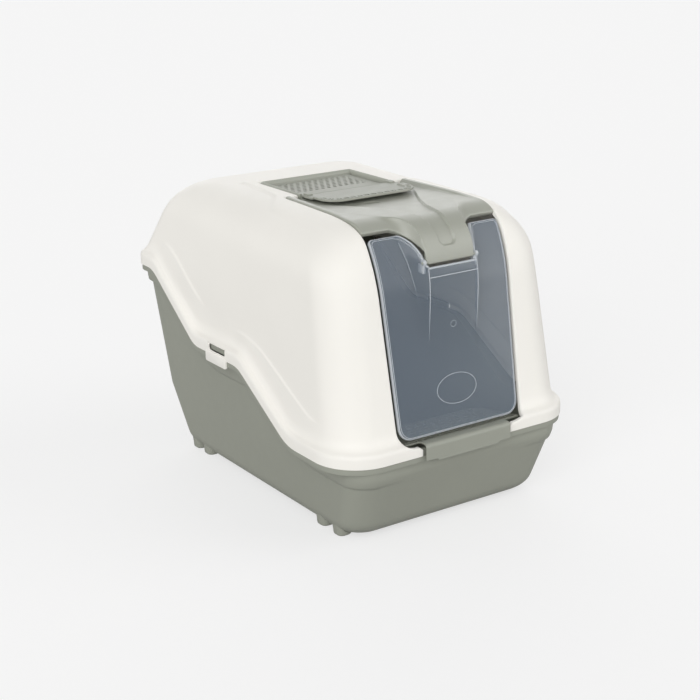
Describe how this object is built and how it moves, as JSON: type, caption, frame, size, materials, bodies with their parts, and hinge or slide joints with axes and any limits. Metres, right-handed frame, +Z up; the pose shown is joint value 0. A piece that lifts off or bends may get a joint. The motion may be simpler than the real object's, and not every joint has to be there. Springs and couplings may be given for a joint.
{
  "type": "cat litter box with hood",
  "caption": "Hooded cat litter box: deep tray, lift-off hood, top hatch with filter lid, swinging clear flap and perforated entry step.",
  "frame": {"origin": "on the floor, under the centre of the whole object's box", "axes": "the front with the flap faces -Y, +X is the right-hand side seen from the front, +Z up"},
  "size_m": [0.38, 0.54, 0.403],
  "materials": {
    "tray": "fine satin grey-green polypropylene",
    "entry_step": "fine satin grey-green polypropylene",
    "hood": "smooth satin warm white polypropylene",
    "hatch": "fine satin grey-green polypropylene",
    "flap": "clear smoke-blue polystyrene, polished",
    "filter_lid": "fine satin grey-green polypropylene",
    "filter_pad": "black carbon felt"
  },
  "bodies": {
    "base": {"tray": "tray", "entry_step": "entry_step"},
    "hood": {"hood": "hood"},
    "hatch": {"hatch": "hatch", "filter_pad": "filter_pad"},
    "flap": {"flap": "flap"},
    "filter_lid": {"filter_lid": "filter_lid"}
  },
  "joints": [
    {"name": "hood_lift", "type": "slide", "parent": "base", "child": "hood", "axis": [0, 0, 1], "range_m": [0, 0.15]},
    {"name": "hatch_hinge", "type": "hinge", "parent": "hood", "child": "hatch", "pos_m": [0, 0.1002, 0.3962], "axis": [-1, 0, 0], "range_deg": [0, 85]},
    {"name": "flap_swing", "type": "hinge", "parent": "hatch", "child": "flap", "pos_m": [0, -0.227, 0.3495], "axis": [1, 0, 0], "range_deg": [-65, 65]},
    {"name": "filter_lid_hinge", "type": "hinge", "parent": "hatch", "child": "filter_lid", "pos_m": [0, 0.0932, 0.3948], "axis": [-1, 0, 0], "range_deg": [0, 80]}
  ]
}
